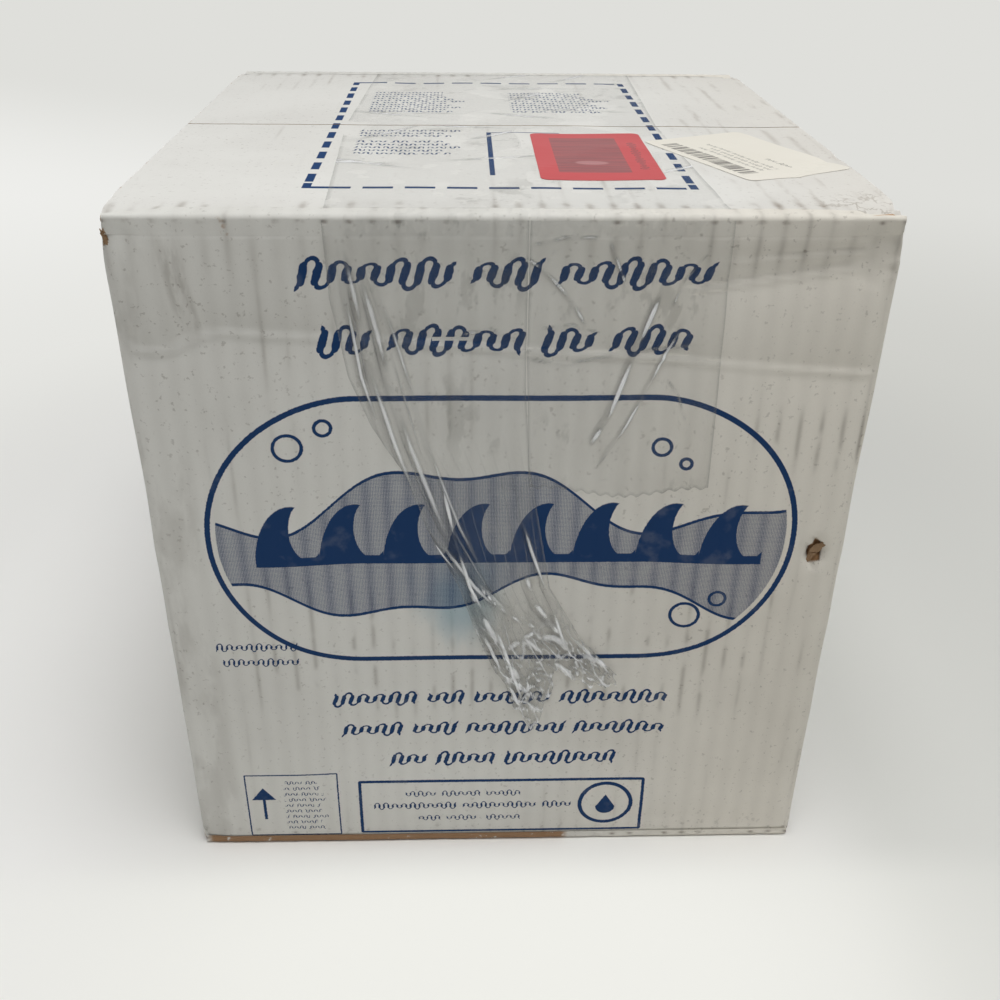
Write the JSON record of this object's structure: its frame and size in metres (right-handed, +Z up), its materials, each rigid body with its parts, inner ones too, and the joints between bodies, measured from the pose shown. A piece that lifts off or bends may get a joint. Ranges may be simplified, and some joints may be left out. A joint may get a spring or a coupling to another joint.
{
  "type": "spa air blower in its shipping carton",
  "caption": "White lined corrugated carton with folding lid flaps, clear tape and labels, holding a domed two-stage spa air blower, a spring check valve and a wall bracket.",
  "frame": {"origin": "middle of the carton's underside", "axes": "+X to the right and +Y away from someone who faces the printed front, +Z up"},
  "size_m": [0.285, 0.3002, 0.3052],
  "materials": {
    "board": "white lined corrugated board",
    "kraft": "kraft board",
    "tape": "clear film",
    "red_paper": "printed paper",
    "cream_paper": "printed paper",
    "zinc": "zinc plated",
    "valve_plastic": "moulded",
    "rubber": "matt",
    "housing_plastic": "moulded",
    "deck_plastic": "moulded",
    "foam": "open foam",
    "aluminium": "pressed and die cast",
    "steel": "ground",
    "copper": null,
    "carbon": "pressed carbon"
  },
  "bodies": {
    "carton": {"carton_sleeve": "board", "front_bottom_flap": "board", "rear_bottom_flap": "board", "left_bottom_flap": "board", "right_bottom_flap": "board", "front_wall_tape": "tape", "rear_wall_tape": "tape", "bottom_pad": "kraft", "front_left_post": "kraft", "front_right_post": "kraft", "rear_left_post": "kraft", "rear_right_post": "kraft", "instruction_leaflet": "cream_paper", "wall_bracket": "zinc", "valve_body": "valve_plastic", "valve_cap": "valve_plastic", "valve_spring": "steel", "blower_base": "housing_plastic", "blower_cover": "housing_plastic", "cover_screw_1": "zinc", "cover_screw_2": "zinc", "cover_screw_3": "zinc", "cover_screw_4": "zinc", "motor_deck": "deck_plastic", "motor_gasket": "rubber", "intake_foam": "foam", "terminal_box": "housing_plastic", "terminal_lid": "housing_plastic", "conduit_plug": "housing_plastic", "fan_housing": "zinc", "stage_diffuser": "deck_plastic", "upper_bracket": "aluminium", "upper_bearing": "steel", "lower_bracket": "aluminium", "lower_bearing": "steel", "field_laminations": "steel", "field_coil_1": "copper", "field_coil_2": "copper", "carbon_brush_1": "carbon", "carbon_brush_2": "carbon", "brush_holder_1": "deck_plastic", "brush_holder_2": "deck_plastic"},
    "front_lid": {"front_top_flap": "board", "front_flap_tape": "tape", "red_label": "red_paper", "paper_label": "cream_paper"},
    "rear_lid": {"rear_top_flap": "board", "rear_flap_tape": "tape"},
    "left_dust": {"left_dust_flap": "board"},
    "right_dust": {"right_dust_flap": "board"},
    "rotor": {"motor_shaft": "steel", "lower_impeller": "aluminium", "upper_impeller": "aluminium", "impeller_spacer": "aluminium", "shaft_nut": "steel", "armature_laminations": "steel", "armature_winding": "copper", "commutator": "copper"},
    "poppet": {"valve_poppet": "valve_plastic", "poppet_seal": "rubber"}
  },
  "joints": [
    {"name": "front_flap_fold", "type": "hinge", "parent": "carton", "child": "front_lid", "pos_m": [0, -0.148, 0.303], "axis": [1, 0, 0], "range_deg": [0, 175]},
    {"name": "rear_flap_fold", "type": "hinge", "parent": "carton", "child": "rear_lid", "pos_m": [0, 0.148, 0.303], "axis": [-1, 0, 0], "range_deg": [0, 176]},
    {"name": "left_dust_fold", "type": "hinge", "parent": "carton", "child": "left_dust", "pos_m": [-0.1405, 0, 0.2987], "axis": [0, -1, 0], "range_deg": [0, 94]},
    {"name": "right_dust_fold", "type": "hinge", "parent": "carton", "child": "right_dust", "pos_m": [0.1405, 0, 0.2987], "axis": [0, 1, 0], "range_deg": [0, 94]},
    {"name": "rotor_spin", "type": "hinge", "parent": "carton", "child": "rotor", "pos_m": [0, -0.015, 0.06], "axis": [0, 0, 1], "continuous": true},
    {"name": "poppet_lift", "type": "slide", "parent": "carton", "child": "poppet", "axis": [0, 0, 1], "range_m": [0, 0.008], "stiffness_N_per_m": 60, "springref_m": -0.004, "deforming": ["valve_spring"]}
  ],
  "couplings": [
    {"joint": "rear_flap_fold", "follows": "front_flap_fold", "ratio": 1},
    {"joint": "left_dust_fold", "follows": "front_flap_fold", "ratio": 0.53},
    {"joint": "right_dust_fold", "follows": "front_flap_fold", "ratio": 0.53}
  ]
}
